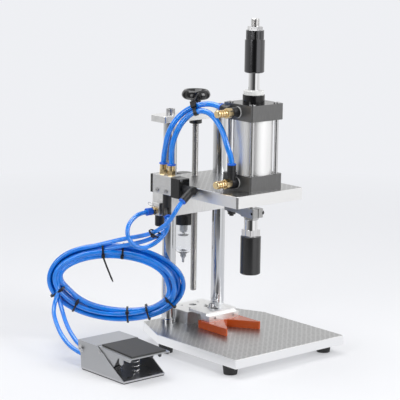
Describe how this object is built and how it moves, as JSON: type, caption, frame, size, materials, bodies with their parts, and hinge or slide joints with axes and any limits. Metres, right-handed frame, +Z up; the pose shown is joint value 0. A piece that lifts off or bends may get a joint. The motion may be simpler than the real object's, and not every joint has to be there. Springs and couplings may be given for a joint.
{
  "type": "pneumatic capping machine",
  "caption": "Bench press for crimping caps on bottles: two columns, a screw-set crosshead, an air cylinder with a crimp head, a bottle locator and a foot pedal on hoses.",
  "frame": {"origin": "on the work surface of the base, on the press axis of the cylinder", "axes": "+X to the machine's right, +Y to its back where the columns stand, +Z up along the press axis"},
  "size_m": [0.4336, 0.3965, 0.6013],
  "materials": {
    "milled_alloy": "fine milled, satin",
    "foot_rubber": "matt black",
    "column_chrome": "hard chromed and ground",
    "black_collar": "blackened, satin",
    "screw_steel": "plain",
    "locator_plastic": "machined orange-brown nylon",
    "nut_bronze": "turned",
    "cap_alloy": "dark grey anodised, satin",
    "tube_alloy": "clear anodised, satin",
    "tie_rod_steel": "zinc plated",
    "white_plastic": "off-white",
    "rod_chrome": "polished",
    "black_steel": "blackened, satin",
    "arm_alloy": "grey, satin",
    "pin_steel": "ground",
    "collet_steel": "turned",
    "screw_thread_steel": "rolled thread",
    "wheel_plastic": "glossy black",
    "valve_alloy": "grey, satin",
    "valve_cap_plastic": "black",
    "fitting_brass": "nickel-brass, turned",
    "black_plastic": "black, moulded",
    "inlet_alloy": "satin",
    "regulator_plastic": "dark grey, moulded",
    "bowl_plastic": "clear bowl",
    "pedal_paint": "silver-grey coat",
    "pedal_steel": "silver-grey coat",
    "pad_rubber": "ribbed, matt",
    "pedal_valve_plastic": "black",
    "plunger_plastic": "off-white",
    "spring_steel": "wire",
    "hose_blue": "blue tubing, slightly clear"
  },
  "bodies": {
    "frame": {"base_plate": "milled_alloy", "feet": "foot_rubber", "guide_columns": "column_chrome", "column_collars": "black_collar", "top_bridge": "milled_alloy", "frame_screws": "screw_steel", "locator_stand": "milled_alloy", "pedal_housing": "pedal_paint", "pedal_base": "pedal_steel", "pedal_sole": "foot_rubber", "pedal_valve": "pedal_valve_plastic", "treadle_spring": "spring_steel", "hose_coil": "hose_blue", "pilot_hose_upper": "hose_blue", "supply_hose_upper": "hose_blue", "pilot_hose_lower": "hose_blue", "supply_hose_lower": "hose_blue"},
    "crosshead": {"crosshead_plate": "milled_alloy", "bearing_block": "milled_alloy", "lead_nut": "nut_bronze", "crosshead_screws": "screw_steel", "cylinder_caps": "cap_alloy", "cylinder_tube": "tube_alloy", "tie_rods": "tie_rod_steel", "bumper_washer": "white_plastic", "valve_body": "valve_alloy", "valve_caps": "valve_cap_plastic", "push_in_fittings": "fitting_brass", "pilot_elbow": "black_plastic", "supply_tee": "black_plastic", "inlet_block": "inlet_alloy", "silencer": "black_plastic", "lower_flow_control": "fitting_brass", "upper_flow_control": "fitting_brass", "regulator_body": "regulator_plastic", "filter_bowl": "bowl_plastic", "upper_cap_hose": "hose_blue", "lower_cap_hose": "hose_blue", "loop_hose": "hose_blue"},
    "screw": {"lead_screw": "screw_thread_steel", "handwheel": "wheel_plastic"},
    "ram": {"piston_rod": "rod_chrome", "stop_sleeve": "black_steel", "stop_ring": "black_steel", "ram_nuts": "screw_steel", "torque_arm": "arm_alloy", "guide_pin": "pin_steel", "rod_connector": "rod_chrome", "crimp_head": "black_steel"},
    "collet": {"crimp_collet": "collet_steel"},
    "lower_needle_valve": {"lower_needle": "fitting_brass"},
    "upper_needle_valve": {"upper_needle": "fitting_brass"},
    "spool": {"valve_spool": "valve_alloy"},
    "drain": {"drain_cock": "black_plastic"},
    "pressure_knob": {"regulator_knob": "black_plastic"},
    "locator": {"vee_block": "locator_plastic", "slotted_rail": "milled_alloy"},
    "treadle_arm": {"treadle": "pedal_paint", "treadle_pad": "pad_rubber"},
    "plunger": {"pedal_plunger": "plunger_plastic"}
  },
  "joints": [
    {"name": "crosshead_slide", "type": "slide", "parent": "frame", "child": "crosshead", "axis": [0, 0, 1], "range_m": [-0.05, 0.05], "deforming": ["pilot_hose_upper", "supply_hose_upper"]},
    {"name": "screw_turn", "type": "hinge", "parent": "frame", "child": "screw", "pos_m": [0, 0.154, 0.38], "axis": [0, 0, 1], "range_deg": [-6100, 6100]},
    {"name": "ram_slide", "type": "slide", "parent": "crosshead", "child": "ram", "axis": [0, 0, -1], "range_m": [0, 0.031]},
    {"name": "collet_slide", "type": "slide", "parent": "ram", "child": "collet", "axis": [0, 0, 1], "range_m": [0, 0.005], "stiffness_N_per_m": 1500, "springref_m": -0.002},
    {"name": "lower_needle_turn", "type": "hinge", "parent": "crosshead", "child": "lower_needle_valve", "pos_m": [-0.07, 0, 0.28125], "axis": [-1, 0, 0], "range_deg": [-1080, 1080]},
    {"name": "upper_needle_turn", "type": "hinge", "parent": "crosshead", "child": "upper_needle_valve", "pos_m": [-0.07, 0, 0.40575], "axis": [-1, 0, 0], "range_deg": [-1080, 1080]},
    {"name": "spool_slide", "type": "slide", "parent": "crosshead", "child": "spool", "axis": [0, 1, 0], "range_m": [0, 0.004], "stiffness_N_per_m": 600, "springref_m": -0.002},
    {"name": "drain_turn", "type": "hinge", "parent": "crosshead", "child": "drain", "pos_m": [0.02, 0.207, 0.105], "axis": [0, 0, 1], "range_deg": [-180, 0]},
    {"name": "pressure_turn", "type": "hinge", "parent": "crosshead", "child": "pressure_knob", "pos_m": [0.02, 0.207, 0.25], "axis": [0, 0, 1], "range_deg": [-1080, 1080]},
    {"name": "locator_slide", "type": "slide", "parent": "frame", "child": "locator", "axis": [0, 1, 0], "range_m": [-0.012, 0.003]},
    {"name": "treadle_press", "type": "hinge", "parent": "frame", "child": "treadle_arm", "pos_m": [-0.254, 0.1015, 0.004], "axis": [1, 0, 0], "range_deg": [0, 8], "stiffness_Nm_per_rad": 5, "springref_deg": -5.73, "deforming": ["treadle_spring"]},
    {"name": "plunger_press", "type": "slide", "parent": "frame", "child": "plunger", "axis": [0, 0, -1], "range_m": [0, 0.0072]}
  ],
  "couplings": [
    {"joint": "screw_turn", "follows": "crosshead_slide", "rad_per_m": -2094.4},
    {"joint": "plunger_press", "follows": "treadle_press", "m_per_rad": 0.05}
  ]
}
